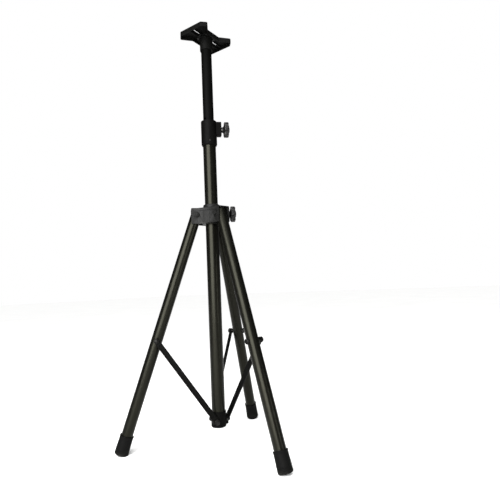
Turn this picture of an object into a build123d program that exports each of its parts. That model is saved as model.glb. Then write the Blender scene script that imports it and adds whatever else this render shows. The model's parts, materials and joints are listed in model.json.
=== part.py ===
from build123d import *
from math import cos, hypot, radians, sin
import os

# Folding tripod stand with a telescopic mast and a mounting plate on top.
# Origin: on the floor under the mast's axis. +Z up, +X along the plate's long axis.
# Lengths are millimetres and angles are degrees.

os.makedirs("parts", exist_ok=True)

# ---- driving dimensions -------------------------------------------------------------
hub_height = 726.0           # leg pivots above the floor, legs spread
collar_above_hub = 231.0     # leg pivots to the collar's lower end
mast_showing = 245.5         # collar's top to the plate socket's lower end
leg_azimuth = 15.0           # first leg; the others follow at 120 degree steps
knob_azimuth = 315.0         # both clamp knobs, opposite the second leg
leg_count = 3

mast_d = 35.0                # inner mast
tube_wall = 1.5
mast_bush_wall = 1.95        # between the inner and the outer mast
mast_length = 900.0
pin_hole_d = 8.0
pin_hole_count = 5
pin_hole_pitch = 100.0
pin_hole_above_collar = 7.0

running_gap = 0.05           # shafts that turn or slide in a hole
body_gap = 0.4               # pieces that only pass each other
face_gap = 0.3               # faces that meet across a joint
boss_corner_r = 5.0          # corners of both clamp bosses

# ---- legs ---------------------------------------------------------------------------
leg_d = 35.0
leg_angle = 18.8             # from vertical, legs spread
leg_swing_room = 3.65        # leg's inner side to the hub's sleeve, folded
leg_above_pivot = 10.0
leg_plug_cap = 2.0
leg_plug_length = 40.0
leg_plug_taper = 25.0
bolt_d = 8.0
bolt_head_across = 15.0
bolt_head_height = 5.0
nut_height = 6.5
nut_dome_share = 0.8         # of the flats' width
nut_dome_height = 2.5
nut_dome_taper = 30.0
bolt_head_stand_off = 2.0    # leg's side to the strut bolt's head
foot_wall = 3.5
foot_length = 58.0
foot_sole = 8.0
foot_sole_round = 6.0
foot_top_round = 2.0
foot_rise = 4.0              # centre of the sole above the floor

# ---- struts -------------------------------------------------------------------------
strut_on_leg = 412.0         # hub pivot to strut pivot, along the leg
strut_foot_r = 7.0
strut_foot_z = 80.0
strut_width = 17.0
strut_depth = 4.5
strut_groove_width = 10.0
strut_groove_depth = 2.5
strut_groove_inset = 16.0

# ---- hub ----------------------------------------------------------------------------
hub_below_pivot = 29.0
hub_above_pivot = 21.5
hub_beyond_pivot = 16.1
hub_sleeve_wall = 6.25
hub_wall_room = 16.5         # hub bush to the flat walls
hub_deck_height = 9.0
hub_deck_overhang = 2.5
hub_lip_height = 4.0
hub_deck_edge = 2.0
hub_ring_edge = 1.5
hub_cheek = 3.6
hub_cheek_boss = 1.5
hub_cheek_boss_d = 19.0
hub_ring_wall = 3.3
hub_ring_height = 12.5
hub_bush_wall = 2.45
hub_knob_above_pivot = 3.0
hub_boss_length = 12.0       # beyond the flat wall
hub_boss_width = 25.0
hub_rib_width = 3.0
hub_bolt_tail = 2.0          # leg bolt's end beyond its nut

# ---- collar -------------------------------------------------------------------------
collar_wall = 4.7
collar_height = 83.5
collar_lip = 6.0
collar_chamfer = 5.0
collar_edge = 1.2
collar_boss_width = 25.0
collar_boss_height = 47.0
collar_boss_length = 15.3    # beyond the collar's side
collar_boss_below_top = 2.0
collar_knob_below_top = 27.0
collar_bush_length = 35.0
bush_flange = 2.0
foot_bush_length = 40.0
foot_bush_floor = 4.0
rivet_d = 4.0
rivet_head_d = 8.0
rivet_head_height = 1.6
rivet_head_taper = 30.0
rivet_tail = 1.0             # longest tail inside a tube's wall

# ---- clamps -------------------------------------------------------------------------
pad_d = 12.0
pad_length = 8.2
pad_travel_room = 3.5
screw_d = 10.0
screw_tip_d = 6.0
screw_tip_length = 3.0
insert_d = 16.0
insert_length = 11.5
knob_d = 52.0
knob_lobes = 5
knob_scallop_d = 21.0
knob_scallop_circle_d = 61.0
knob_tip_r = 3.0
knob_edge = 1.5
knob_thickness = 15.0
knob_neck_length = 8.0
knob_neck_d = 18.0
knob_cap_d = 19.0
knob_cap_height = 3.0
knob_cap_taper = 20.0
knob_gap = 1.2               # neck to boss face with the clamp tight
screw_in_knob = 18.0

# ---- bottom bracket -----------------------------------------------------------------
bracket_bottom = 60.0
column_bottom = 92.0
bracket_top = 108.0
bracket_wall = 2.5
bracket_lower_edge = 2.0
bracket_upper_edge = 1.0
bracket_ear_corner_r = 4.0
bracket_ear_proud = 0.1      # ear's flat beyond the bracket's side
bracket_ear_below = 14.0     # ear's lower end under the strut pivot
bracket_ear_above = 15.0
bracket_ear_inner = 9.0      # ear's ends either side of the strut pivot
bracket_ear_outer = 12.0
strut_bolt_depth = 14.0
bumper_d = 14.0
bumper_height = 4.0
bumper_edge = 1.5
bumper_stem_d = 9.0
bumper_stem_length = 10.0

# ---- top plate ----------------------------------------------------------------------
plate_length = 152.0
plate_width = 120.0
plate_waist_length = 56.0
plate_corner_cut = 16.0
plate_corner_r = 5.0
plate_waist_r = 24.0
plate_edge = 1.5
plate_thickness = 4.0
plate_rim_depth = 15.0
plate_rim_wall = 3.0
slot_width = 8.5
slot_length = 31.0
slot_spacing = 86.0
plate_rib_wall = 2.5
plate_rib_depth = 6.0
socket_wall = 3.25
socket_length = 47.0
socket_flange_gap = 1.0       # flange edge to the plate's rim
socket_flange = 4.0
socket_edge = 0.8
plate_rivet_d = 5.0
plate_rivet_room = 4.85      # rivet circle to the socket's side
plate_rivet_edge = 4.4       # rivet circle to the flange's edge
plate_rivet_tail = 2.0
plate_rivet_tail_share = 1.6 # tail's width to the rivet's
plate_rivet_tail_taper = 25.0
plate_rivet_count = 4
grub_d = 6.0
grub_below_flange = 26.0
grub_set_back = 0.3          # end of the screw inside the socket's side
grub_socket_depth = 1.8

# ---- worked out from the sizes above ------------------------------------------------
column_d = mast_d + 2 * (running_gap + mast_bush_wall + tube_wall)
column_r = column_d / 2
mast_r = mast_d / 2
leg_r = leg_d / 2
foot_d = leg_d + 2 * foot_wall
bolt_r = bolt_d / 2
collar_bottom = hub_height + collar_above_hub
collar_top = collar_bottom + collar_height
column_top = collar_top - collar_lip - bush_flange
socket_bottom = collar_top + mast_showing
plate_underside = socket_bottom + socket_length
plate_top = plate_underside + plate_thickness
mast_top = plate_underside - tube_wall
socket_d = mast_d + 2 * socket_wall
plate_rivet_circle_d = socket_d + 2 * plate_rivet_room
socket_flange_d = plate_rivet_circle_d + 2 * plate_rivet_edge
plate_waist = socket_flange_d + 2 * (plate_rim_wall + socket_flange_gap)
mast_bottom = mast_top - mast_length
bolt_head_corner_d = bolt_head_across / cos(radians(30))
strut_bolt_head_r = leg_r + bolt_head_stand_off
leg_length = (hub_height - foot_rise) / cos(radians(leg_angle))
hub_bottom = hub_height - hub_below_pivot
hub_top = hub_height + hub_above_pivot
hub_half_width = leg_r + body_gap + hub_cheek
cheek_face = hub_half_width + hub_cheek_boss
hub_bush_r = column_r + running_gap + hub_bush_wall
hub_ring_d = 2 * (hub_bush_r + hub_ring_wall)
leg_slot_inner = hub_bush_r + hub_sleeve_wall
leg_pivot_r = leg_slot_inner + leg_swing_room + leg_r
hub_reach = leg_pivot_r + hub_beyond_pivot
hub_wall_distance = hub_bush_r + hub_wall_room
hub_boss_reach = hub_wall_distance + hub_boss_length
collar_d = column_d + 2 * collar_wall
collar_boss_reach = collar_d / 2 + collar_boss_length
bracket_d = column_d + 2 * bracket_wall
bracket_flat = bracket_d / 2 + bracket_ear_proud
strut_inner_face = bracket_flat + body_gap
leg_slot_top = hub_height + leg_above_pivot + leg_plug_cap + leg_r * sin(radians(leg_angle))
collar_knob_z = collar_top - collar_knob_below_top
hub_knob_z = hub_height + hub_knob_above_pivot
strut_top_r = leg_pivot_r + strut_on_leg * sin(radians(leg_angle))
strut_top_z = hub_height - strut_on_leg * cos(radians(leg_angle))
strut_length = hypot(strut_top_r - strut_foot_r, strut_top_z - strut_foot_z)
leg_azimuths = [leg_azimuth + 360 / leg_count * n for n in range(leg_count)]
gap_azimuths = [azimuth + 180 / leg_count for azimuth in leg_azimuths]


# ---- planes -------------------------------------------------------------------------
def radial(azimuth):
    return Vector(cos(radians(azimuth)), sin(radians(azimuth)), 0)


def tangent(azimuth):
    return Vector(-sin(radians(azimuth)), cos(radians(azimuth)), 0)


def outward_plane(azimuth, distance, height):
    """Faces away from the mast's axis at one height."""
    origin = radial(azimuth) * distance + Vector(0, 0, height)
    return Plane(origin=origin, x_dir=tangent(azimuth), z_dir=radial(azimuth))


def sideways_plane(azimuth, distance, height, offset):
    """Faces along a pivot's axis, square to the plane of one leg."""
    origin = radial(azimuth) * distance + tangent(azimuth) * offset + Vector(0, 0, height)
    return Plane(origin=origin, x_dir=radial(azimuth), z_dir=tangent(azimuth))


def leg_plane(azimuth, distance):
    """Square to one leg, at a distance down the leg from its hub pivot."""
    pivot = radial(azimuth) * leg_pivot_r + Vector(0, 0, hub_height)
    down = radial(azimuth) * sin(radians(leg_angle)) - Vector(0, 0, cos(radians(leg_angle)))
    return Plane(origin=pivot + down * distance, x_dir=tangent(azimuth), z_dir=down)


def ring_sketch(plane, outer_d, inner_d):
    with BuildSketch(plane) as ring:
        Circle(outer_d / 2)
        Circle(inner_d / 2, mode=Mode.SUBTRACT)
    return ring.sketch


def disc_sketch(plane, diameter):
    with BuildSketch(plane) as disc:
        Circle(diameter / 2)
    return disc.sketch


def hexagon_sketch(plane, across_flats, hole_d=0.0):
    with BuildSketch(plane) as hexagon:
        RegularPolygon(across_flats / 2, 6, major_radius=False)
        if hole_d:
            Circle(hole_d / 2, mode=Mode.SUBTRACT)
    return hexagon.sketch


# ---- outer mast and its ends --------------------------------------------------------
rivet_azimuths_low = [azimuth + 90 for azimuth in gap_azimuths]
rivet_low_z = (column_bottom + bracket_top) / 2
rivet_azimuths_high = [knob_azimuth - 90, knob_azimuth + 90]
rivet_high_z = collar_bottom + collar_chamfer + rivet_head_d

with BuildPart() as outer_mast:
    extrude(ring_sketch(Plane.XY.offset(column_bottom), column_d, column_d - 2 * tube_wall),
            amount=column_top - column_bottom)
    extrude(disc_sketch(outward_plane(knob_azimuth, 0, collar_knob_z), pad_d + 2 * body_gap),
            amount=column_d, mode=Mode.SUBTRACT)
    for azimuth in rivet_azimuths_low:
        extrude(disc_sketch(outward_plane(azimuth, 0, rivet_low_z), rivet_d),
                amount=column_d, mode=Mode.SUBTRACT)
    for azimuth in rivet_azimuths_high:
        extrude(disc_sketch(outward_plane(azimuth, 0, rivet_high_z), rivet_d),
                amount=column_d, mode=Mode.SUBTRACT)
outer_mast.part.label = "outer_mast"
export_step(outer_mast.part, "parts/outer_mast.step")

knob_axis = Axis(origin=(0, 0, 0), direction=radial(knob_azimuth))
with BuildPart() as mast_collar:
    with BuildSketch(Plane.XY.offset(collar_bottom)):
        Circle(collar_d / 2)
    extrude(amount=collar_height)
    chamfer(mast_collar.edges().group_by(Axis.Z)[0], collar_chamfer, collar_chamfer / 2)
    chamfer(mast_collar.edges().group_by(Axis.Z)[-1], collar_edge)
    boss_z = collar_top - collar_boss_below_top - collar_boss_height / 2
    with BuildSketch(outward_plane(knob_azimuth, 0, boss_z)):
        RectangleRounded(collar_boss_width, collar_boss_height, boss_corner_r)
    extrude(amount=collar_boss_reach)
    chamfer(mast_collar.faces().sort_by(knob_axis)[-1].edges(), collar_edge)
    extrude(disc_sketch(Plane.XY.offset(collar_bottom), column_d),
            amount=column_top + bush_flange - collar_bottom, mode=Mode.SUBTRACT)
    extrude(disc_sketch(Plane.XY.offset(collar_bottom), mast_d + 2 * body_gap),
            amount=collar_height, mode=Mode.SUBTRACT)
    extrude(disc_sketch(outward_plane(knob_azimuth, 0, collar_knob_z), pad_d + 2 * running_gap),
            amount=mast_r + face_gap + pad_length + pad_travel_room, mode=Mode.SUBTRACT)
    extrude(disc_sketch(outward_plane(knob_azimuth, 0, collar_knob_z), screw_d + 2 * body_gap),
            amount=collar_boss_reach, mode=Mode.SUBTRACT)
    extrude(disc_sketch(outward_plane(knob_azimuth, collar_boss_reach, collar_knob_z), insert_d),
            amount=-insert_length, mode=Mode.SUBTRACT)
    for azimuth in rivet_azimuths_high:
        extrude(disc_sketch(outward_plane(azimuth, 0, rivet_high_z), rivet_d),
                amount=collar_d, mode=Mode.SUBTRACT)
mast_collar.part.label = "mast_collar"
export_step(mast_collar.part, "parts/mast_collar.step")

with BuildPart() as collar_bush:
    extrude(ring_sketch(Plane.XY.offset(column_top), column_d, mast_d + 2 * running_gap),
            amount=bush_flange)
    extrude(ring_sketch(Plane.XY.offset(column_top), column_d - 2 * tube_wall,
                        mast_d + 2 * running_gap), amount=-collar_bush_length)
    extrude(disc_sketch(outward_plane(knob_azimuth, 0, collar_knob_z), pad_d + 2 * body_gap),
            amount=column_d, mode=Mode.SUBTRACT)
collar_bush.part.label = "collar_bush"
export_step(collar_bush.part, "parts/collar_bush.step")


def rivet_set(azimuths, height, surface_r, tail_r):
    """Domed rivets square to the mast's axis."""
    with BuildPart() as rivets:
        for azimuth in azimuths:
            head = outward_plane(azimuth, surface_r, height)
            extrude(disc_sketch(head, rivet_d), amount=tail_r - surface_r)
            extrude(disc_sketch(head, rivet_head_d), amount=rivet_head_height, taper=rivet_head_taper)
    return rivets


collar_rivets = rivet_set(rivet_azimuths_high, rivet_high_z, collar_d / 2, column_r - tube_wall)
collar_rivets.part.label = "collar_rivets"
export_step(collar_rivets.part, "parts/collar_rivets.step")

with BuildPart() as bottom_bracket:
    extrude(disc_sketch(Plane.XY.offset(bracket_bottom), bracket_d), amount=bracket_top - bracket_bottom)
    chamfer(bottom_bracket.edges().group_by(Axis.Z)[0], bracket_lower_edge)
    chamfer(bottom_bracket.edges().group_by(Axis.Z)[-1], bracket_upper_edge)
    for azimuth in leg_azimuths:
        with BuildSketch(sideways_plane(azimuth, strut_foot_r, strut_foot_z, 0)):
            with Locations(((bracket_ear_outer - bracket_ear_inner) / 2,
                            (bracket_ear_below - bracket_ear_above) / 2)):
                RectangleRounded(bracket_ear_inner + bracket_ear_outer,
                                 bracket_ear_above + bracket_ear_below, bracket_ear_corner_r)
        extrude(amount=bracket_flat)
    extrude(disc_sketch(Plane.XY.offset(column_bottom), column_d),
            amount=bracket_top - column_bottom, mode=Mode.SUBTRACT)
    for azimuth in leg_azimuths:
        extrude(disc_sketch(sideways_plane(azimuth, strut_foot_r, strut_foot_z, bracket_flat), bolt_d),
                amount=-strut_bolt_depth, mode=Mode.SUBTRACT)
    for azimuth in rivet_azimuths_low:
        extrude(disc_sketch(outward_plane(azimuth, 0, rivet_low_z), rivet_d),
                amount=bracket_d, mode=Mode.SUBTRACT)
    extrude(disc_sketch(Plane.XY.offset(bracket_bottom), bumper_stem_d),
            amount=bumper_stem_length, mode=Mode.SUBTRACT)
bottom_bracket.part.label = "bottom_bracket"
export_step(bottom_bracket.part, "parts/bottom_bracket.step")

bracket_rivets = rivet_set(rivet_azimuths_low, rivet_low_z, bracket_d / 2,
                           column_r - tube_wall - rivet_tail)
bracket_rivets.part.label = "bracket_rivets"
export_step(bracket_rivets.part, "parts/bracket_rivets.step")

with BuildPart() as strut_foot_bolts:
    for azimuth in leg_azimuths:
        flat = sideways_plane(azimuth, strut_foot_r, strut_foot_z, bracket_flat)
        head_offset = body_gap + strut_depth + body_gap
        extrude(disc_sketch(flat.offset(-strut_bolt_depth), bolt_d), amount=strut_bolt_depth + head_offset)
        extrude(hexagon_sketch(flat.offset(head_offset), bolt_head_across), amount=bolt_head_height)
strut_foot_bolts.part.label = "strut_foot_bolts"
export_step(strut_foot_bolts.part, "parts/strut_foot_bolts.step")

with BuildPart() as bumper:
    extrude(disc_sketch(Plane.XY.offset(bracket_bottom), bumper_stem_d), amount=bumper_stem_length)
    extrude(disc_sketch(Plane.XY.offset(bracket_bottom), bumper_d), amount=-bumper_height)
    fillet(bumper.edges().group_by(Axis.Z)[0], bumper_edge)
bumper.part.label = "bumper"
export_step(bumper.part, "parts/bumper.step")

# ---- inner mast ---------------------------------------------------------------------
with BuildPart() as inner_mast:
    extrude(ring_sketch(Plane.XY.offset(mast_bottom), mast_d, mast_d - 2 * tube_wall), amount=mast_length)
    for n in range(pin_hole_count):
        hole_z = collar_top + pin_hole_above_collar - n * pin_hole_pitch
        extrude(disc_sketch(outward_plane(0, -mast_d, hole_z), pin_hole_d),
                amount=2 * mast_d, mode=Mode.SUBTRACT)
inner_mast.part.label = "inner_mast"
export_step(inner_mast.part, "parts/inner_mast.step")

foot_bush_d = column_d - 2 * tube_wall - 2 * running_gap
with BuildPart() as mast_foot_bush:
    extrude(ring_sketch(Plane.XY.offset(mast_bottom - face_gap), foot_bush_d, mast_d + 2 * running_gap),
            amount=foot_bush_length)
    extrude(ring_sketch(Plane.XY.offset(mast_bottom - face_gap), foot_bush_d, mast_d / 2),
            amount=-foot_bush_floor)
mast_foot_bush.part.label = "mast_foot_bush"
export_step(mast_foot_bush.part, "parts/mast_foot_bush.step")


# ---- clamps -------------------------------------------------------------------------
def clamp_pad(shaft_r, height):
    """Plug that the screw presses against a tube, hollowed to the tube's curve."""
    front_r = shaft_r + face_gap
    with BuildPart() as pad:
        extrude(disc_sketch(outward_plane(knob_azimuth, 0, height), pad_d), amount=front_r + pad_length)
        with BuildSketch(Plane.XY.offset(height - pad_d)):
            Circle(front_r)
        extrude(amount=2 * pad_d, mode=Mode.SUBTRACT)
        tip_hole = outward_plane(knob_azimuth, front_r + pad_length, height)
        extrude(disc_sketch(tip_hole, screw_tip_d + 2 * running_gap),
                amount=-screw_tip_length - face_gap, mode=Mode.SUBTRACT)
    return pad


def clamp_screw(shaft_r, boss_reach, height):
    """Screw from the pad into the knob."""
    shoulder_r = shaft_r + face_gap + pad_length + face_gap
    shoulder = outward_plane(knob_azimuth, shoulder_r, height)
    with BuildPart() as screw:
        extrude(disc_sketch(shoulder, screw_tip_d), amount=-screw_tip_length)
        extrude(disc_sketch(shoulder, screw_d), amount=boss_reach + knob_gap + screw_in_knob - shoulder_r)
    return screw


def clamp_insert(boss_reach, height):
    """Threaded insert set flush in a boss."""
    with BuildPart() as insert:
        extrude(ring_sketch(outward_plane(knob_azimuth, boss_reach, height), insert_d,
                            screw_d + 2 * running_gap), amount=-insert_length)
    return insert


def star_knob(boss_reach, height):
    """Lobed hand knob with a conical neck and a round cap."""
    neck = outward_plane(knob_azimuth, boss_reach + knob_gap, height)
    grip = neck.offset(knob_neck_length)
    with BuildPart() as knob:
        with BuildSketch(grip) as lobes:
            Circle(knob_d / 2)
            with PolarLocations(knob_scallop_circle_d / 2, knob_lobes):
                Circle(knob_scallop_d / 2, mode=Mode.SUBTRACT)
            fillet(lobes.vertices(), knob_tip_r)
        extrude(amount=knob_thickness)
        chamfer(knob.faces().sort_by(knob_axis)[-1].edges(), knob_edge)
        with BuildSketch(neck):
            Circle(knob_neck_d / 2)
        with BuildSketch(grip):
            Circle(knob_d / 2 - knob_neck_length)
        loft()
        extrude(disc_sketch(grip.offset(knob_thickness), knob_cap_d), amount=knob_cap_height,
                taper=knob_cap_taper)
        extrude(disc_sketch(neck, screw_d), amount=screw_in_knob, mode=Mode.SUBTRACT)
    return knob


collar_pad = clamp_pad(mast_r, collar_knob_z)
collar_pad.part.label = "collar_pad"
export_step(collar_pad.part, "parts/collar_pad.step")

collar_screw = clamp_screw(mast_r, collar_boss_reach, collar_knob_z)
collar_screw.part.label = "collar_screw"
export_step(collar_screw.part, "parts/collar_screw.step")

collar_insert = clamp_insert(collar_boss_reach, collar_knob_z)
collar_insert.part.label = "collar_insert"
export_step(collar_insert.part, "parts/collar_insert.step")

collar_knob = star_knob(collar_boss_reach, collar_knob_z)
collar_knob.part.label = "collar_knob"
export_step(collar_knob.part, "parts/collar_knob.step")

hub_pad = clamp_pad(column_r, hub_knob_z)
hub_pad.part.label = "hub_pad"
export_step(hub_pad.part, "parts/hub_pad.step")

hub_screw = clamp_screw(column_r, hub_boss_reach, hub_knob_z)
hub_screw.part.label = "hub_screw"
export_step(hub_screw.part, "parts/hub_screw.step")

hub_insert = clamp_insert(hub_boss_reach, hub_knob_z)
hub_insert.part.label = "hub_insert"
export_step(hub_insert.part, "parts/hub_insert.step")

hub_knob = star_knob(hub_boss_reach, hub_knob_z)
hub_knob.part.label = "hub_knob"
export_step(hub_knob.part, "parts/hub_knob.step")


# ---- hub ----------------------------------------------------------------------------
def hub_outline(plane, wall_distance):
    """Three lobes over the legs, joined by three flat walls."""
    with BuildSketch(plane) as outline:
        RegularPolygon(wall_distance, leg_count, major_radius=False, rotation=leg_azimuth)
        Circle(hub_reach, mode=Mode.INTERSECT)
        with PolarLocations(hub_reach / 2, leg_count, start_angle=leg_azimuth):
            Rectangle(hub_reach, 2 * hub_half_width)
    return outline.sketch


with BuildPart() as hub_body:
    extrude(hub_outline(Plane.XY.offset(hub_bottom), hub_wall_distance), amount=hub_top - hub_bottom)
    extrude(hub_outline(Plane.XY.offset(hub_top), hub_wall_distance + hub_deck_overhang),
            amount=-hub_deck_height)
    extrude(hub_outline(Plane.XY.offset(hub_bottom), hub_wall_distance + hub_deck_overhang / 2),
            amount=hub_lip_height)
    chamfer(hub_body.edges().group_by(Axis.Z)[-1], hub_deck_edge)
    # ribs on the walls between the lobes
    for azimuth in gap_azimuths:
        for rib_shift in (-hub_wall_distance / 4, hub_wall_distance / 4):
            with BuildSketch(outward_plane(azimuth, 0, hub_bottom)):
                with Locations((rib_shift, (hub_top - hub_bottom) / 2)):
                    Rectangle(hub_rib_width, hub_top - hub_bottom - hub_deck_height)
            extrude(amount=hub_wall_distance + hub_deck_overhang / 2)
    # clamp boss and its guide
    with BuildSketch(outward_plane(knob_azimuth, 0, hub_knob_z)):
        RectangleRounded(hub_boss_width, hub_boss_width, boss_corner_r)
    extrude(amount=hub_boss_reach)
    extrude(disc_sketch(Plane.XY.offset(hub_top), hub_ring_d), amount=hub_ring_height)
    chamfer(hub_body.edges().group_by(Axis.Z)[-1], hub_ring_edge)
    # clevises over the leg tops
    slot_length_r = hub_reach - leg_slot_inner + hub_cheek
    with BuildSketch(Plane.XY.offset(hub_bottom)):
        with PolarLocations(leg_slot_inner + slot_length_r / 2, leg_count, start_angle=leg_azimuth):
            Rectangle(slot_length_r, 2 * (leg_r + body_gap))
    extrude(amount=leg_slot_top + body_gap - hub_bottom, mode=Mode.SUBTRACT)
    for azimuth in leg_azimuths:
        for side in (-1, 1):
            cheek = sideways_plane(azimuth, leg_pivot_r, hub_height, side * hub_half_width)
            extrude(disc_sketch(cheek, hub_cheek_boss_d), amount=side * hub_cheek_boss)
            # room for the bolt head or nut
            seat = sideways_plane(azimuth, leg_pivot_r, hub_height, side * cheek_face)
            extrude(disc_sketch(seat, bolt_head_corner_d + 2 * body_gap),
                    amount=side * (nut_height + hub_bolt_tail), mode=Mode.SUBTRACT)
        bolt_line = sideways_plane(azimuth, leg_pivot_r, hub_height, -hub_reach / 2)
        extrude(disc_sketch(bolt_line, bolt_d), amount=hub_reach, mode=Mode.SUBTRACT)
    extrude(disc_sketch(Plane.XY.offset(hub_bottom), 2 * hub_bush_r),
            amount=hub_top + hub_ring_height - hub_bottom, mode=Mode.SUBTRACT)
    extrude(disc_sketch(outward_plane(knob_azimuth, 0, hub_knob_z), pad_d + 2 * running_gap),
            amount=column_r + face_gap + pad_length + pad_travel_room, mode=Mode.SUBTRACT)
    extrude(disc_sketch(outward_plane(knob_azimuth, 0, hub_knob_z), screw_d + 2 * body_gap),
            amount=hub_boss_reach, mode=Mode.SUBTRACT)
    extrude(disc_sketch(outward_plane(knob_azimuth, hub_boss_reach, hub_knob_z), insert_d),
            amount=-insert_length, mode=Mode.SUBTRACT)
hub_body.part.label = "hub_body"
export_step(hub_body.part, "parts/hub_body.step")

with BuildPart() as hub_bush:
    extrude(ring_sketch(Plane.XY.offset(hub_bottom), 2 * hub_bush_r, column_d + 2 * running_gap),
            amount=hub_top + hub_ring_height - hub_bottom)
    extrude(disc_sketch(outward_plane(knob_azimuth, 0, hub_knob_z), pad_d + 2 * body_gap),
            amount=column_d, mode=Mode.SUBTRACT)
hub_bush.part.label = "hub_bush"
export_step(hub_bush.part, "parts/hub_bush.step")

with BuildPart() as leg_pivot_bolts:
    for azimuth in leg_azimuths:
        head = sideways_plane(azimuth, leg_pivot_r, hub_height, -cheek_face)
        extrude(hexagon_sketch(head, bolt_head_across), amount=-bolt_head_height)
        extrude(disc_sketch(head, bolt_d), amount=2 * cheek_face + nut_height + hub_bolt_tail)
leg_pivot_bolts.part.label = "leg_pivot_bolts"
export_step(leg_pivot_bolts.part, "parts/leg_pivot_bolts.step")

with BuildPart() as leg_pivot_nuts:
    for azimuth in leg_azimuths:
        seat = sideways_plane(azimuth, leg_pivot_r, hub_height, cheek_face)
        extrude(hexagon_sketch(seat, bolt_head_across, bolt_d), amount=nut_height)
leg_pivot_nuts.part.label = "leg_pivot_nuts"
export_step(leg_pivot_nuts.part, "parts/leg_pivot_nuts.step")

# ---- legs and struts ----------------------------------------------------------------
for number, azimuth in enumerate(leg_azimuths, start=1):
    leg_start = -leg_above_pivot
    pivot_line = sideways_plane(azimuth, leg_pivot_r, hub_height, -leg_d)
    strut_line = sideways_plane(azimuth, strut_top_r, strut_top_z, 0)

    with BuildPart() as leg_tube:
        extrude(ring_sketch(leg_plane(azimuth, leg_start), leg_d, leg_d - 2 * tube_wall),
                amount=leg_length - foot_sole - leg_start)
        extrude(disc_sketch(pivot_line, bolt_d + 2 * body_gap), amount=2 * leg_d, mode=Mode.SUBTRACT)
        extrude(disc_sketch(strut_line.offset(-leg_d), bolt_d), amount=2 * leg_d, mode=Mode.SUBTRACT)
    leg_tube.part.label = f"leg_tube_{number}"
    export_step(leg_tube.part, f"parts/leg_tube_{number}.step")

    with BuildPart() as leg_plug:
        extrude(disc_sketch(leg_plane(azimuth, leg_start), leg_d - 2 * tube_wall), amount=leg_plug_length)
        extrude(disc_sketch(leg_plane(azimuth, leg_start), leg_d), amount=-leg_plug_cap,
                taper=leg_plug_taper)
        extrude(disc_sketch(pivot_line, bolt_d + 2 * running_gap), amount=2 * leg_d, mode=Mode.SUBTRACT)
    leg_plug.part.label = f"leg_plug_{number}"
    export_step(leg_plug.part, f"parts/leg_plug_{number}.step")

    with BuildPart() as rubber_foot:
        extrude(disc_sketch(leg_plane(azimuth, leg_length), foot_d), amount=-foot_length)
        down_leg = Axis(origin=(0, 0, 0), direction=leg_plane(azimuth, 0).z_dir)
        fillet(rubber_foot.edges().group_by(down_leg)[-1], foot_sole_round)
        fillet(rubber_foot.edges().group_by(down_leg)[0], foot_top_round)
        extrude(disc_sketch(leg_plane(azimuth, leg_length - foot_sole), leg_d),
                amount=foot_sole - foot_length, mode=Mode.SUBTRACT)
        with BuildSketch(Plane.XY):
            Circle(leg_length)
        extrude(amount=-foot_d, mode=Mode.SUBTRACT)
    rubber_foot.part.label = f"rubber_foot_{number}"
    export_step(rubber_foot.part, f"parts/rubber_foot_{number}.step")

    spacer_end = strut_inner_face - face_gap
    with BuildPart() as leg_spacers:
        extrude(ring_sketch(strut_line, bolt_head_across, bolt_d), amount=spacer_end)
        extrude(ring_sketch(strut_line, bolt_head_across, bolt_d), amount=-strut_bolt_head_r)
        extrude(disc_sketch(leg_plane(azimuth, strut_on_leg - leg_d), leg_d),
                amount=2 * leg_d, mode=Mode.SUBTRACT)
    leg_spacers.part.label = f"leg_spacers_{number}"
    export_step(leg_spacers.part, f"parts/leg_spacers_{number}.step")

    with BuildPart() as strut_bolt:
        head = strut_line.offset(-strut_bolt_head_r)
        extrude(hexagon_sketch(head, bolt_head_across), amount=-bolt_head_height)
        extrude(disc_sketch(head, bolt_d), amount=strut_bolt_head_r + spacer_end)
    strut_bolt.part.label = f"strut_bolt_{number}"
    export_step(strut_bolt.part, f"parts/strut_bolt_{number}.step")

    rise = Vector(0, 0, strut_top_z - strut_foot_z)
    up_strut = (radial(azimuth) * (strut_top_r - strut_foot_r) + rise).normalized()
    strut_foot = sideways_plane(azimuth, strut_foot_r, strut_foot_z, strut_inner_face)
    strut_plane = Plane(origin=strut_foot.origin, x_dir=up_strut, z_dir=tangent(azimuth))
    with BuildPart() as strut:
        with BuildSketch(strut_plane):
            with Locations((strut_length / 2, 0)):
                SlotCenterToCenter(strut_length, strut_width)
        extrude(amount=strut_depth)
        with BuildSketch(strut_plane.offset(strut_depth)):
            with Locations((strut_length / 2, 0)):
                SlotCenterToCenter(strut_length - 2 * strut_groove_inset - strut_groove_width,
                                   strut_groove_width)
        extrude(amount=-strut_groove_depth, mode=Mode.SUBTRACT)
        with BuildSketch(strut_plane):
            Circle(bolt_r + running_gap)
            with Locations((strut_length, 0)):
                Circle(bolt_r)
        extrude(amount=strut_depth, mode=Mode.SUBTRACT)
    strut.part.label = f"strut_{number}"
    export_step(strut.part, f"parts/strut_{number}.step")

    with BuildPart() as strut_nut:
        seat = strut_line.offset(strut_inner_face + strut_depth)
        extrude(hexagon_sketch(seat, bolt_head_across), amount=nut_height)
        extrude(disc_sketch(seat, bolt_d), amount=-strut_depth)
        extrude(disc_sketch(seat.offset(nut_height), nut_dome_share * bolt_head_across),
                amount=nut_dome_height, taper=nut_dome_taper)
    strut_nut.part.label = f"strut_nut_{number}"
    export_step(strut_nut.part, f"parts/strut_nut_{number}.step")

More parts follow.
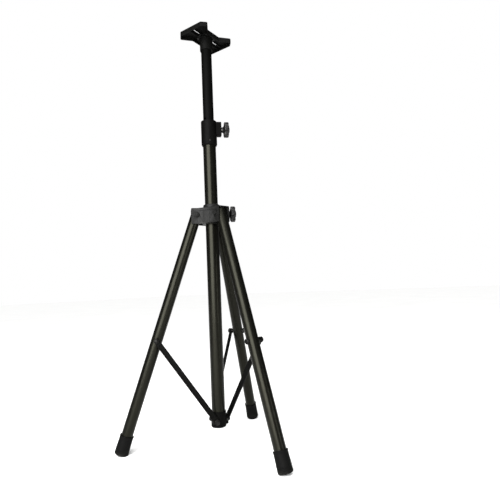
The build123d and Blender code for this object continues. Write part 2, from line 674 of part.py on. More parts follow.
# ---- top plate ----------------------------------------------------------------------
rivet_spread = plate_rivet_circle_d / 2
slot_centres = [(-slot_spacing / 2, 0), (slot_spacing / 2, 0)]
with BuildPart() as plate_socket:
    extrude(disc_sketch(Plane.XY.offset(socket_bottom), socket_d), amount=socket_length)
    chamfer(plate_socket.edges().group_by(Axis.Z)[0], socket_edge)
    extrude(disc_sketch(Plane.XY.offset(plate_underside), socket_flange_d), amount=-socket_flange)
    extrude(disc_sketch(Plane.XY.offset(socket_bottom), mast_d), amount=socket_length, mode=Mode.SUBTRACT)
    with BuildSketch(Plane.XY.offset(plate_underside)):
        with PolarLocations(rivet_spread, plate_rivet_count, start_angle=45):
            Circle(plate_rivet_d / 2)
        with Locations(*slot_centres):
            SlotOverall(slot_length, slot_width)
    extrude(amount=-socket_flange, mode=Mode.SUBTRACT)
    for azimuth in (0, 180):
        grub = outward_plane(azimuth, 0, plate_underside - grub_below_flange)
        extrude(disc_sketch(grub, grub_d), amount=socket_d, mode=Mode.SUBTRACT)
plate_socket.part.label = "plate_socket"
export_step(plate_socket.part, "parts/plate_socket.step")

with BuildPart() as socket_screws:
    for azimuth in (0, 180):
        grub = outward_plane(azimuth, mast_r, plate_underside - grub_below_flange)
        grub_length = socket_wall - grub_set_back
        extrude(disc_sketch(grub, grub_d), amount=grub_length)
        extrude(hexagon_sketch(grub.offset(grub_length), grub_d / 2),
                amount=-grub_socket_depth, mode=Mode.SUBTRACT)
socket_screws.part.label = "socket_screws"
export_step(socket_screws.part, "parts/socket_screws.step")


def plate_outline(plane, inset):
    """Two straight ends joined by waisted sides, with cut corners."""
    end = plate_length / 2
    side = plate_width / 2
    with BuildSketch(plane) as outline:
        with BuildLine():
            corners = [(end, side - plate_corner_cut),
                       (end - plate_corner_cut, side),
                       (plate_waist_length / 2, plate_waist / 2)]
            ring = corners + [(-x, y) for x, y in reversed(corners)]
            ring += [(-x, -y) for x, y in ring]
            Polyline(*ring, close=True)
        make_face()
        outer_corners = [v for v in outline.vertices() if abs(v.X) > plate_waist_length / 2 + 1]
        waist_corners = [v for v in outline.vertices() if abs(v.X) <= plate_waist_length / 2 + 1]
        fillet(outer_corners, plate_corner_r)
        fillet(waist_corners, plate_waist_r)
        if inset:
            offset(amount=-inset)
    return outline.sketch


with BuildPart() as top_plate:
    extrude(plate_outline(Plane.XY.offset(plate_top), 0), amount=-plate_rim_depth)
    extrude(plate_outline(Plane.XY.offset(plate_underside), plate_rim_wall),
            amount=plate_thickness - plate_rim_depth, mode=Mode.SUBTRACT)
    fillet(top_plate.edges().group_by(Axis.Z)[-1], plate_edge)
    # ribs beside the slots
    rib_start = socket_flange_d / 2 - socket_flange_gap
    rib_length = plate_length / 2 - plate_rim_wall - rib_start
    with BuildSketch(Plane.XY.offset(plate_underside)):
        for side in (-1, 1):
            for edge in (-1, 1):
                with Locations((side * (rib_start + rib_length / 2), edge * slot_width)):
                    Rectangle(rib_length, plate_rib_wall)
        Circle(socket_flange_d / 2, mode=Mode.SUBTRACT)
    extrude(amount=-plate_rib_depth)
    with BuildSketch(Plane.XY.offset(plate_top)):
        with Locations(*slot_centres):
            SlotOverall(slot_length, slot_width)
        with PolarLocations(rivet_spread, plate_rivet_count, start_angle=45):
            Circle(plate_rivet_d / 2)
    extrude(amount=-plate_thickness, mode=Mode.SUBTRACT)
top_plate.part.label = "top_plate"
export_step(top_plate.part, "parts/top_plate.step")

with BuildPart() as plate_rivets:
    with BuildSketch(Plane.XY.offset(plate_top)):
        with PolarLocations(rivet_spread, plate_rivet_count, start_angle=45):
            Circle(plate_rivet_d / 2)
    extrude(amount=-plate_thickness - socket_flange)
    with BuildSketch(Plane.XY.offset(plate_underside - socket_flange)):
        with PolarLocations(rivet_spread, plate_rivet_count, start_angle=45):
            Circle(plate_rivet_tail_share * plate_rivet_d / 2)
    extrude(amount=-plate_rivet_tail, taper=plate_rivet_tail_taper)
plate_rivets.part.label = "plate_rivets"
export_step(plate_rivets.part, "parts/plate_rivets.step")
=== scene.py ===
import json
from math import cos, exp, log, pi, radians, sin, sqrt, tan

import bmesh
import bpy
from mathutils import Matrix, Vector


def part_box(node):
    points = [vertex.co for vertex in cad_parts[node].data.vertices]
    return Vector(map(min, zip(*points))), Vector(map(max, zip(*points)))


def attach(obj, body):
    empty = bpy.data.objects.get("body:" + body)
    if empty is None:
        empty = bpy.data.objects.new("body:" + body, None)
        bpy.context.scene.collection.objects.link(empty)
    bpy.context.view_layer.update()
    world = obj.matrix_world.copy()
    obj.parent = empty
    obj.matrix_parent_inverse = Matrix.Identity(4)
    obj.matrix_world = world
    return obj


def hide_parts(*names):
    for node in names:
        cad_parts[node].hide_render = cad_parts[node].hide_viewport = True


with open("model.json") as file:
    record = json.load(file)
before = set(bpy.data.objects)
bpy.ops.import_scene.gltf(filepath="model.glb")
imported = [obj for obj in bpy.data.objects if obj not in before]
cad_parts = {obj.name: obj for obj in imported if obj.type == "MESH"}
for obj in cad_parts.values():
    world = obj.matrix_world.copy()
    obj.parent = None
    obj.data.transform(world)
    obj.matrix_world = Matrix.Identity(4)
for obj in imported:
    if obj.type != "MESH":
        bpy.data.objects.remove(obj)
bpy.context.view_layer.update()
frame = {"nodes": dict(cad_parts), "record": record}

# Looks of a folding tripod speaker stand. Metres, in the CAD model's own frame.

MM = 0.001
UP = Vector((0, 0, 1))
behaviour = frame["record"]["behaviour"]
joints = {joint["name"]: joint for joint in behaviour["joints"]}
body_of = {node: body for body, nodes in behaviour["bodies"].items() for node in nodes}
scene = bpy.context.scene


# ---- materials ------------------------------------------------------------------------
class Shader:
    """A node material with one Principled shader, textured in the object's own space."""

    def __init__(self, name):
        self.material = bpy.data.materials.new(name)
        self.material.use_nodes = True
        self.tree = self.material.node_tree
        self.surface = self.tree.nodes["Principled BSDF"]
        self.space = self.node("ShaderNodeTexCoord").outputs["Object"]

    def node(self, kind, **settings):
        made = self.tree.nodes.new(kind)
        for key, value in settings.items():
            setattr(made, key, value)
        return made

    def link(self, source, target):
        self.tree.links.new(source, target)

    def fixed(self, **values):
        for key, value in values.items():
            self.surface.inputs[key.replace("_", " ")].default_value = value
        return self

    def stretched(self, x, y, z):
        mapping = self.node("ShaderNodeMapping")
        mapping.inputs["Scale"].default_value = (x, y, z)
        self.link(self.space, mapping.inputs["Vector"])
        return mapping.outputs["Vector"]

    def noise(self, scale, detail=2.0, roughness=0.5, space=None):
        made = self.node("ShaderNodeTexNoise")
        made.inputs["Scale"].default_value = scale
        made.inputs["Detail"].default_value = detail
        made.inputs["Roughness"].default_value = roughness
        self.link(space or self.space, made.inputs["Vector"])
        return made.outputs["Fac"]

    def cells(self, scale):
        made = self.node("ShaderNodeTexVoronoi")
        made.inputs["Scale"].default_value = scale
        self.link(self.space, made.inputs["Vector"])
        return made.outputs["Distance"]

    def ranged(self, source, low, high, from_low=0.3, from_high=0.7):
        made = self.node("ShaderNodeMapRange")
        for key, value in (("From Min", from_low), ("From Max", from_high),
                           ("To Min", low), ("To Max", high)):
            made.inputs[key].default_value = value
        self.link(source, made.inputs["Value"])
        return made.outputs["Result"]

    def product(self, first, second):
        made = self.node("ShaderNodeMath", operation="MULTIPLY")
        self.link(first, made.inputs[0])
        self.link(second, made.inputs[1])
        return made.outputs["Value"]

    def blended(self, factor, first, second):
        """Colour between two colours."""
        made = self.node("ShaderNodeMix", data_type="RGBA")
        self.link(factor, made.inputs["Factor"])
        for slot, colour in (("A", first), ("B", second)):
            socket = [s for s in made.inputs if s.name == slot and s.type == "RGBA"][0]
            socket.default_value = (*colour, 1)
        return [s for s in made.outputs if s.type == "RGBA"][0]

    def height(self):
        made = self.node("ShaderNodeSeparateXYZ")
        self.link(self.space, made.inputs["Vector"])
        return made.outputs["Z"]

    def colour(self, socket):
        self.link(socket, self.surface.inputs["Base Color"])

    def roughness(self, socket):
        self.link(socket, self.surface.inputs["Roughness"])

    def bump(self, source, depth, strength=1.0):
        """Relief of that depth in metres, on top of any relief already there."""
        made = self.node("ShaderNodeBump")
        made.inputs["Distance"].default_value = depth
        made.inputs["Strength"].default_value = strength
        normal = self.surface.inputs["Normal"]
        if normal.links:
            self.link(normal.links[0].from_socket, made.inputs["Normal"])
        self.link(source, made.inputs["Height"])
        self.link(made.outputs["Normal"], normal)


def powder_coat(name, dark, light, low, high, gloss, grain=1100, gloss_tint=(1, 1, 1)):
    """Baked powder coat: orange-peel relief, faint cloudiness and long rub marks."""
    coat = Shader(name).fixed(Specular_IOR_Level=gloss, Specular_Tint=(*gloss_tint, 1))
    clouds = coat.noise(9, 4)
    rubs = coat.noise(160, 3, 0.6, coat.stretched(1, 1, 0.04))
    coat.colour(coat.blended(coat.ranged(clouds, 0, 1), dark, light))
    coat.roughness(coat.ranged(rubs, low, high))
    coat.bump(coat.noise(grain, 3, 0.6), 0.06 * MM, 0.55)
    coat.bump(rubs, 0.03 * MM, 0.35)
    return coat.material


def moulded(name, dark, light, low, high, gloss, grain=1900):
    """Moulded plastic: spark-eroded grain over slow changes of tone."""
    plastic = Shader(name).fixed(Specular_IOR_Level=gloss)
    flow = plastic.noise(26, 5, 0.6)
    plastic.colour(plastic.blended(plastic.ranged(flow, 0, 1), dark, light))
    plastic.roughness(plastic.ranged(plastic.noise(240, 3), low, high))
    plastic.bump(plastic.cells(grain), 0.07 * MM, 0.6)
    plastic.bump(flow, 0.2 * MM, 0.3)
    return plastic.material


dust_height = 22 * MM        # above the floor, where the dust on the feet ends


def black_rubber(name):
    """Matte rubber with pores, and pale dust where it meets the floor."""
    rubber = Shader(name).fixed(Specular_IOR_Level=0.05)
    dust_noise = rubber.ranged(rubber.noise(95, 5, 0.7), 0, 1, 0.42, 0.62)
    low_down = rubber.ranged(rubber.height(), 1, 0, 0, dust_height)
    dust = rubber.product(dust_noise, low_down)
    rubber.colour(rubber.blended(dust, (0.0013, 0.0013, 0.0012), (0.014, 0.0135, 0.012)))
    rubber.roughness(rubber.ranged(rubber.noise(300, 3), 0.55, 0.72))
    rubber.bump(rubber.noise(1400, 4, 0.7), 0.09 * MM, 0.6)
    return rubber.material


def metal(name, dark, light, low, high):
    """Plated or oxidised steel with fine scratches."""
    steel = Shader(name).fixed(Metallic=1.0)
    patches = steel.noise(130, 4, 0.6)
    steel.colour(steel.blended(steel.ranged(patches, 0, 1), dark, light))
    scratches = steel.noise(420, 4, 0.7, steel.stretched(1, 1, 0.15))
    steel.roughness(steel.ranged(scratches, low, high))
    steel.bump(scratches, 0.04 * MM, 0.4)
    return steel.material


# Darkest and lightest colour, lowest and highest roughness, gloss, and on some the grain's
# scale and the gloss's tint.
charcoal = ((0.0038, 0.0038, 0.0036), (0.0064, 0.0064, 0.006), 0.42, 0.54, 0.11)
flat_black = ((0.0006, 0.0006, 0.0005), (0.0012, 0.0012, 0.001))
tube_black = powder_coat("tube_black", (0.001, 0.001, 0.0008), (0.002, 0.002, 0.0015),
                         0.26, 0.34, 0.12, gloss_tint=(1.0, 0.99, 0.78))
mast_black = powder_coat("mast_black", *flat_black, 0.5, 0.62, 0.025)
strut_black = powder_coat("strut_black", *flat_black, 0.42, 0.54, 0.04)
plate_black = powder_coat("plate_black", (0.0009, 0.0009, 0.0008), (0.0018, 0.0018, 0.0016),
                          0.5, 0.62, 0.05, 700)
charcoal_nylon = moulded("charcoal_nylon", *charcoal)
collar_nylon = moulded("collar_nylon", (0.0007, 0.0007, 0.0006), (0.0014, 0.0014, 0.0013),
                       0.48, 0.6, 0.03)
knob_black = moulded("knob_black", (0.0022, 0.0022, 0.0021), (0.004, 0.004, 0.0038),
                     0.3, 0.42, 0.2, 2300)
bush_black = moulded("bush_black", (0.007, 0.007, 0.007), (0.011, 0.011, 0.0105),
                     0.35, 0.45, 0.4, 2600)
foot_rubber = black_rubber("foot_rubber")
charcoal_coat = powder_coat("charcoal_coat", *charcoal)
black_oxide = metal("black_oxide", (0.007, 0.007, 0.0068), (0.018, 0.0175, 0.0165), 0.34, 0.52)
zinc = metal("zinc", (0.48, 0.48, 0.46), (0.62, 0.61, 0.56), 0.22, 0.38)
brass = metal("brass", (0.55, 0.41, 0.17), (0.68, 0.52, 0.24), 0.25, 0.4)

slot_materials = {
    "tube_paint": tube_black, "strut_paint": strut_black, "plate_paint": plate_black,
    "moulded_nylon": charcoal_nylon, "knob_plastic": knob_black, "bush_plastic": bush_black,
    "rubber": foot_rubber, "brass": brass, "black_fasteners": black_oxide, "zinc_steel": zinc,
}
own_materials = {
    "inner_mast": mast_black, "mast_collar": collar_nylon, "bottom_bracket": collar_nylon,
}
node_slots = {part["node"]: part["material_slot"] for part in frame["record"]["subparts"]}


def node_material(name):
    return own_materials.get(name, slot_materials[node_slots[name]])


for name, node in frame["nodes"].items():
    material = node_material(name)
    if not node.material_slots:
        node.data.materials.append(material)
    for material_slot in node.material_slots:
        material_slot.material = material


# ---- mesh helpers ---------------------------------------------------------------------
round_segments = 72          # round a turned shape
edge_steps = 6               # over a rounded edge
sharp_edge = radians(32)     # edges sharper than this aren't smoothed over
weld = 1e-7                  # points nearer than this, in metres, are one
cad_weld = 2e-6              # the same, in a copy of a CAD node
flat_enough = radians(0.5)   # CAD triangles that bend less than this become one face
rounded_edge = radians(38)   # edges sharper than this are rounded
rounding_steps = 3


def reach(node, origin, axis, near):
    """(lowest, highest) distance along an axis of a CAD node's points that lie near it."""
    heights = []
    for point in frame["nodes"][node].data.vertices:
        offset = point.co - origin
        height = offset.dot(axis)
        if (offset - axis * height).length < near:
            heights.append(height)
    return min(heights), max(heights)


def along(origin, axis, x_dir):
    """Matrix whose Z runs along the axis and whose X lies nearest x_dir."""
    across = axis.cross(x_dir).normalized()
    turn = Matrix((across.cross(axis), across, axis)).transposed().to_4x4()
    return Matrix.Translation(origin) @ turn


def turned(mesh, place, rings, outline=None, segments=round_segments,
           ends=(True, True)):
    """Solid about the place's Z axis, in metres. A ring is (height, radius, share);
    outline(angle, radius) shapes a ring by its share, and a share of 0 is a plain circle."""
    loops = []
    for height, radius, share in rings:
        loop = []
        for step in range(segments):
            angle = 2 * pi * step / segments
            shaped = outline(angle, radius) if outline else radius
            r = radius + (shaped - radius) * share
            loop.append(mesh.verts.new(place @ Vector((r * cos(angle), r * sin(angle), height))))
        loops.append(loop)
    for lower, upper in zip(loops, loops[1:]):
        for step in range(segments):
            after = (step + 1) % segments
            mesh.faces.new((lower[step], lower[after], upper[after], upper[step]))
    if ends[0]:
        mesh.faces.new(list(reversed(loops[0])))
    if ends[1]:
        mesh.faces.new(loops[-1])
    if not any(ends):
        for step in range(segments):
            after = (step + 1) % segments
            mesh.faces.new((loops[-1][step], loops[-1][after], loops[0][after], loops[0][step]))


def quarter_round(height, radius, turn, share=0.0):
    """Rings that round a turned shape's edge, from its side in to the flat at that height."""
    rings = []
    for step in range(edge_steps + 1):
        angle = pi / 2 * step / edge_steps
        rings.append((height - turn * (1 - sin(angle)),
                      radius - abs(turn) * (1 - cos(angle)), share))
    return rings


def finished(name, mesh, material, sharp=sharp_edge):
    """Object made of that bmesh, smooth except over its sharp edges."""
    bmesh.ops.remove_doubles(mesh, verts=mesh.verts, dist=weld)
    bmesh.ops.recalc_face_normals(mesh, faces=mesh.faces)
    for face in mesh.faces:
        face.smooth = True
    for edge in mesh.edges:
        edge.smooth = len(edge.link_faces) == 2 and edge.calc_face_angle() < sharp
    data = bpy.data.meshes.new(name)
    mesh.to_mesh(data)
    mesh.free()
    data.materials.append(material)
    piece = bpy.data.objects.new(name, data)
    scene.collection.objects.link(piece)
    return piece


def stand_in(piece, *nodes):
    """The piece replaces CAD nodes and rides on their body."""
    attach(piece, body_of[nodes[0]])
    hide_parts(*nodes)


def softened(node, name, width, held_back=False):
    """Copy of a CAD node with its sharp edges rounded, if held back only as far as its
    shortest edge allows."""
    mesh = bmesh.new()
    mesh.from_mesh(frame["nodes"][node].data)
    bmesh.ops.remove_doubles(mesh, verts=mesh.verts, dist=cad_weld)
    bmesh.ops.dissolve_limit(mesh, angle_limit=flat_enough, verts=mesh.verts, edges=mesh.edges)
    piece = finished(name, mesh, node_material(node))
    rounding = piece.modifiers.new("rounding", "BEVEL")
    rounding.width, rounding.segments = width, rounding_steps
    rounding.limit_method, rounding.angle_limit = "ANGLE", rounded_edge
    rounding.harden_normals = True
    rounding.use_clamp_overlap = held_back
    stand_in(piece, node)


# ---- rubber feet ----------------------------------------------------------------------
foot_rise = 4 * MM           # middle of the sole above the floor, before it is trimmed flat
foot_sole = 8 * MM
foot_sole_round = 6 * MM
foot_lip = 1.6 * MM
foot_waist = 0.7 * MM        # how much the side is drawn in below the lip
foot_grooves = 3
foot_groove_pitch = 4 * MM
foot_groove_depth = 0.7 * MM
foot_side_steps = 8
foot_to_tube = 0.02 * MM
near_leg = 40 * MM           # how far from its line reach() looks on a leg


def leg_line(number):
    """(pivot, direction down the leg, pivot's axis) of one leg, legs spread."""
    joint = joints[f"leg_{number}_fold"]
    pivot = Vector(joint["pos_m"])
    outward = Vector((pivot.x, pivot.y, 0)).normalized()
    lean = radians(joint["range_deg"][1])
    return pivot, outward * sin(lean) - UP * cos(lean), Vector(joint["axis"])


def rubber_foot(number):
    node = f"rubber_foot_{number}"
    pivot, down, axis = leg_line(number)
    sole_end = (pivot.z - foot_rise) / -down.z
    top = sole_end - reach(node, pivot, down, near_leg)[0]
    tube_r = reach(f"leg_tube_{number}", pivot, axis, near_leg)[1]
    foot_r = reach(node, pivot + down * sole_end, axis, near_leg)[1]
    rings = [(z, r, 0.0) for z, r, _ in reversed(quarter_round(0, foot_r, -foot_sole_round))]
    groove_start = foot_sole_round + foot_groove_pitch / 2
    for n in range(foot_grooves):
        z = groove_start + n * foot_groove_pitch
        rings += [(z, foot_r, 0),
                  (z + foot_groove_depth, foot_r - foot_groove_depth, 0),
                  (z + 2 * foot_groove_depth, foot_r - foot_groove_depth, 0),
                  (z + 3 * foot_groove_depth, foot_r, 0)]
    side_start = groove_start + foot_grooves * foot_groove_pitch
    side_end = top - 3 * foot_lip
    for n in range(foot_side_steps + 1):
        share = n / foot_side_steps
        rings.append((side_start + (side_end - side_start) * share,
                      foot_r - foot_waist * sin(pi / 2 * share), 0))
    rings.append((side_end + foot_lip, foot_r, 0))
    rings += quarter_round(top, foot_r, foot_lip)
    inner_r = tube_r + foot_to_tube
    rings += [(top, inner_r + foot_lip / 2, 0), (top - foot_lip / 2, inner_r, 0),
              (foot_sole, inner_r, 0)]
    mesh = bmesh.new()
    turned(mesh, along(pivot + down * sole_end, -down, axis), rings)
    everything = mesh.verts[:] + mesh.edges[:] + mesh.faces[:]
    cut = bmesh.ops.bisect_plane(mesh, geom=everything, plane_co=(0, 0, 0), plane_no=-UP,
                                 clear_outer=True)
    rim = [part for part in cut["geom_cut"] if isinstance(part, bmesh.types.BMEdge)]
    bmesh.ops.edgeloop_fill(mesh, edges=rim)
    piece = finished(f"foot_{number}", mesh, foot_rubber)
    stand_in(piece, node)


# ---- hand knobs -----------------------------------------------------------------------
knob_lobes = 5
knob_r = 26 * MM
scallop_r = 10.5 * MM
scallop_ring = 30.5 * MM
knob_blend = 0.9 * MM
knob_segments = 180
knob_neck = 8 * MM
knob_neck_r = 9 * MM
knob_neck_edge = 0.8 * MM
knob_neck_straight = 2.5 * MM
knob_neck_steps = 8
knob_shoulder_r = 16.5 * MM
knob_grip = 15 * MM
knob_edge = 3 * MM
knob_dish = 1.2 * MM
knob_face_land = 4 * MM       # from the cap's ring out to where the lobes fade into the dish
knob_face_star = 0.35
knob_dish_land = 1.6 * MM
knob_sharp_edge = radians(50)
knob_cap_r = 9.5 * MM
knob_cap_edge = 1.4 * MM
knob_cap_dip = 0.5 * MM
knob_cap_steps = 5
near_knob = 30 * MM


def star(angle, radius):
    """Outline of round lobes and scallops, drawn in by as much as the ring's radius is."""
    step = 2 * pi / knob_lobes
    off = (angle + step / 2) % step - step / 2
    chord = max(scallop_r ** 2 - (scallop_ring * sin(off)) ** 2, 0.0)
    scallop = scallop_ring * cos(off) - sqrt(chord)
    edge = -knob_blend * log(exp(-scallop / knob_blend) + exp(-knob_r / knob_blend))
    return edge - (knob_r - radius)


def hand_knob(node):
    joint = joints[f"{node}_turn"]
    axis, pivot = Vector(joint["axis"]), Vector(joint["pos_m"])
    start, end = reach(node, pivot, axis, near_knob)
    top = end - start
    grip_top = knob_neck + knob_grip
    rings = [(0, knob_neck_r - knob_neck_edge, 0), (knob_neck_edge, knob_neck_r, 0),
             (knob_neck_straight, knob_neck_r, 0)]
    for n in range(1, knob_neck_steps + 1):
        share = n / knob_neck_steps
        rings.append((knob_neck_straight + (knob_neck - knob_neck_straight) * share,
                      knob_neck_r + (knob_shoulder_r - knob_neck_r) * share ** 2, 0))
    underside = quarter_round(knob_neck, knob_r, -knob_edge, 1.0)
    rings += list(reversed(underside)) + quarter_round(grip_top, knob_r, knob_edge, 1.0)
    rings += [(grip_top, knob_cap_r + knob_face_land, knob_face_star),
              (grip_top - knob_dish, knob_cap_r + knob_dish_land, 0),
              (grip_top - knob_dish, knob_cap_r, 0)]
    rings += quarter_round(top, knob_cap_r, knob_cap_edge)
    for n in range(1, knob_cap_steps):
        rings.append((top - knob_cap_dip * (n / (knob_cap_steps - 1)),
                      (knob_cap_r - knob_cap_edge) * (1 - n / knob_cap_steps), 0))
    mesh = bmesh.new()
    turned(mesh, along(pivot + axis * start, axis, UP.cross(axis)), rings, star, knob_segments)
    piece = finished(f"{node}_grip", mesh, knob_black, knob_sharp_edge)
    stand_in(piece, node)


# ---- bolts and nuts -------------------------------------------------------------------
hex_across = 15 * MM
hex_corner_r = hex_across / 2 / cos(radians(30))
hex_face_r = 0.94 * hex_across / 2
hex_chamfer = (hex_corner_r - hex_face_r) * tan(radians(30))
head_height = 5 * MM
nut_height = 6.5 * MM
shank_r = 4 * MM
thread_chamfer = 0.8 * MM
chamfer_steps = 4
head_dimple = 0.4 * MM
head_dimple_r = 0.8 * hex_face_r
head_dimple_floor_r = 0.3 * hex_face_r
nut_hex_height = 0.8 * nut_height        # the rest is the collar round the plastic insert
nut_collar_r = 0.4 * hex_across
nut_collar_foot = 0.6 * MM
nut_collar_edge = 0.5 * MM
nut_thread_gap = 0.05 * MM
cap_nut_hex_height = nut_height - 1 * MM
dome_r = 0.42 * hex_across
dome_height = 2.5 * MM
dome_steps = 8
near_bolt = 12 * MM


def hexagon(angle, radius):
    sixth = pi / 3
    flat_r = hex_across / 2 / cos(angle % sixth - sixth / 2)
    return min(radius, flat_r)


def hex_rings(bottom, top, chamfered_below):
    """Rings of a hexagon between two heights, its corners chamfered as if turned."""
    rings = []
    turned_off = hex_corner_r - hex_face_r
    if chamfered_below:
        for n in range(chamfer_steps + 1):
            rings.append((bottom + hex_chamfer * n / chamfer_steps,
                          hex_face_r + turned_off * n / chamfer_steps, 1))
    else:
        rings.append((bottom, hex_corner_r, 1))
    for n in range(chamfer_steps + 1):
        rings.append((top - hex_chamfer * (1 - n / chamfer_steps),
                      hex_corner_r - turned_off * n / chamfer_steps, 1))
    return rings


def bolt(mesh, origin, axis, head_end, tail_end):
    """Hexagon-headed bolt, its head's outer face and its tail that far along the axis."""
    facing = 1 if head_end > tail_end else -1
    length = abs(head_end - tail_end)
    rings = [(0, shank_r - thread_chamfer, 0), (thread_chamfer, shank_r, 0),
             (length - head_height, shank_r, 0)]
    rings += hex_rings(length - head_height, length, False)
    rings += [(length - head_dimple, head_dimple_r, 0),
              (length - head_dimple, head_dimple_floor_r, 0)]
    turned(mesh, along(origin + axis * tail_end, axis * facing, UP), rings, hexagon)


def lock_nut(mesh, origin, axis, seat):
    """Ring nut with the collar that holds its plastic insert."""
    bore_r = shank_r + nut_thread_gap
    rings = [(0, bore_r, 0)] + hex_rings(0, nut_hex_height, True)
    rings += [(nut_hex_height, nut_collar_r + nut_collar_foot, 0),
              (nut_height - nut_collar_edge, nut_collar_r, 0),
              (nut_height, nut_collar_r - nut_collar_edge, 0), (nut_height, bore_r, 0)]
    turned(mesh, along(origin + axis * seat, axis, UP), rings, hexagon, ends=(False, False))


def cap_nut(mesh, origin, axis, inner_end, outer_end):
    """Domed nut on the short length of shank that fills the strut's hole."""
    start = outer_end - nut_height - dome_height - inner_end
    top = outer_end - inner_end
    dome_start = start + cap_nut_hex_height
    rings = [(0, shank_r, 0), (start, shank_r, 0)] + hex_rings(start, dome_start, True)
    for n in range(dome_steps):
        angle = pi / 2 * n / dome_steps
        rings.append((dome_start + (top - dome_start) * sin(angle), dome_r * cos(angle), 0))
    turned(mesh, along(origin + axis * inner_end, axis, UP), rings, hexagon)


def fastener(name, mesh, node, material=black_oxide):
    stand_in(finished(name, mesh, material), node)


def fasteners():
    leg_bolts, leg_nuts, foot_bolts = bmesh.new(), bmesh.new(), bmesh.new()
    for number in (1, 2, 3):
        pivot, down, axis = leg_line(number)
        head, tail = reach("leg_pivot_bolts", pivot, axis, near_bolt)
        bolt(leg_bolts, pivot, axis, head, tail)
        lock_nut(leg_nuts, pivot, axis, reach("leg_pivot_nuts", pivot, axis, near_bolt)[0])
        foot = Vector(joints[f"strut_{number}_fold"]["pos_m"])
        tail, head = reach("strut_foot_bolts", foot, axis, near_bolt)
        bolt(foot_bolts, foot, axis, head, tail)
        nut_node, bolt_node = f"strut_nut_{number}", f"strut_bolt_{number}"
        centre = sum((Vector(corner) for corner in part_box(nut_node)), Vector()) / 2
        upper = centre - axis * (centre - pivot).dot(axis)
        inner, outer = reach(nut_node, upper, axis, near_bolt)
        mesh = bmesh.new()
        cap_nut(mesh, upper, axis, inner, outer)
        fastener(f"cap_nut_{number}", mesh, nut_node)
        head, tail = reach(bolt_node, upper, axis, near_bolt)
        mesh = bmesh.new()
        bolt(mesh, upper, axis, head, tail)
        fastener(f"leg_bolt_{number}", mesh, bolt_node)
    fastener("hub_bolts", leg_bolts, "leg_pivot_bolts", charcoal_coat)
    fastener("hub_nuts", leg_nuts, "leg_pivot_nuts", charcoal_coat)
    fastener("bracket_bolts", foot_bolts, "strut_foot_bolts")


for leg_number in (1, 2, 3):
    rubber_foot(leg_number)
    softened(f"strut_{leg_number}", f"strut_bar_{leg_number}", 0.7 * MM)
for knob_node in ("collar_knob", "hub_knob"):
    hand_knob(knob_node)
fasteners()
softened("hub_body", "hub_moulding", 0.8 * MM, held_back=True)
softened("mast_collar", "collar_moulding", 0.8 * MM)
softened("bottom_bracket", "bracket_moulding", 0.7 * MM, held_back=True)
softened("top_plate", "plate_casting", 0.7 * MM)
softened("plate_socket", "socket_casting", 0.5 * MM)


# ---- floor, light and camera ----------------------------------------------------------
floor_half_side = 30
overhead_tilt = (radians(12), radians(-16), 0)


def pale_floor(half_side):
    mesh = bpy.data.meshes.new("floor")
    corners = [(x * half_side, y * half_side, 0) for x, y in ((-1, -1), (1, -1), (1, 1), (-1, 1))]
    mesh.from_pydata(corners, [], [(0, 1, 2, 3)])
    floor = bpy.data.objects.new("floor", mesh)
    scene.collection.objects.link(floor)
    paint = Shader("floor_paint").fixed(Roughness=0.85)
    tone = paint.ranged(paint.noise(1.3, 3), 0, 1)
    paint.colour(paint.blended(tone, (0.86, 0.86, 0.855), (0.89, 0.89, 0.885)))
    mesh.materials.append(paint.material)


def softbox(name, azimuth, distance, height, width, tall, power, aim_height=0.7):
    """Area light at a plan angle round the mast, aimed at a height on it."""
    data = bpy.data.lights.new(name, "AREA")
    data.shape, data.size, data.size_y, data.energy = "RECTANGLE", width, tall, power
    light = bpy.data.objects.new(name, data)
    place = Vector((cos(azimuth) * distance, sin(azimuth) * distance, height))
    light.location = place
    light.rotation_euler = (Vector((0, 0, aim_height)) - place).to_track_quat("-Z", "Y").to_euler()
    scene.collection.objects.link(light)


def overhead_sun(strength, spread):
    """Even top light, so that the floor is as pale far off as it is near."""
    data = bpy.data.lights.new("overhead", "SUN")
    data.energy, data.angle = strength, spread
    light = bpy.data.objects.new("overhead", data)
    light.rotation_euler = overhead_tilt
    scene.collection.objects.link(light)


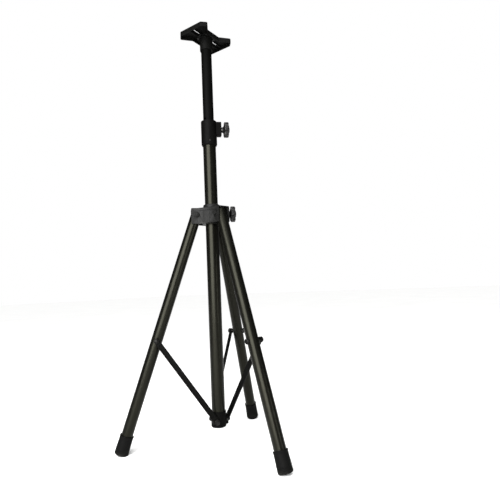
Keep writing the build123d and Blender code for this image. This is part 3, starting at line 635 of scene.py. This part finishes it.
def white_room(seen, lit):
    """Pale surroundings: bright to the camera, softer as a light."""
    world = bpy.data.worlds.new("room")
    scene.world = world
    world.use_nodes = True
    nodes, links = world.node_tree.nodes, world.node_tree.links
    background = nodes["Background"]
    path = nodes.new("ShaderNodeLightPath")
    level = nodes.new("ShaderNodeMapRange")
    level.inputs["To Min"].default_value = lit
    level.inputs["To Max"].default_value = seen
    links.new(path.outputs["Is Camera Ray"], level.inputs["Value"])
    links.new(level.outputs["Result"], background.inputs["Strength"])
    background.inputs["Color"].default_value = (1, 1, 1, 1)


camera_azimuth = radians(220.4)    # plan angle of the camera round the mast
camera_distance = 1.3955
camera_height = 0.4861
camera_heading = radians(35.48)    # plan angle that it looks along
camera_pitch = radians(5.01)
camera_roll = radians(-2.39)
camera_lens = 31.05
camera_sensor = 36


def photo_camera():
    ahead = Vector((cos(camera_heading) * cos(camera_pitch),
                    sin(camera_heading) * cos(camera_pitch), sin(camera_pitch)))
    level_right = ahead.cross(UP).normalized()
    level_up = level_right.cross(ahead)
    right = level_right * cos(camera_roll) + level_up * sin(camera_roll)
    upward = right.cross(ahead)
    data = bpy.data.cameras.new("camera")
    data.lens, data.sensor_width = camera_lens, camera_sensor
    camera = bpy.data.objects.new("camera", data)
    turn = Matrix((right, upward, -ahead)).transposed().to_4x4()
    place = Vector((cos(camera_azimuth) * camera_distance,
                    sin(camera_azimuth) * camera_distance, camera_height))
    camera.matrix_world = Matrix.Translation(place) @ turn
    scene.collection.objects.link(camera)
    scene.camera = camera


pale_floor(floor_half_side)
white_room(seen=1.0, lit=0.06)
softbox("key", camera_azimuth - radians(26), distance=2.3, height=1.2, width=2.2, tall=1.8,
        power=200)
softbox("fill", camera_azimuth + radians(48), distance=2.6, height=0.6, width=0.5, tall=0.8,
        power=12, aim_height=0.5)
softbox("back", camera_azimuth + radians(165), distance=2.8, height=1.2, width=1.2, tall=1.8,
        power=5)
overhead_sun(strength=3.8, spread=radians(60))
photo_camera()
scene.view_settings.view_transform = "Standard"
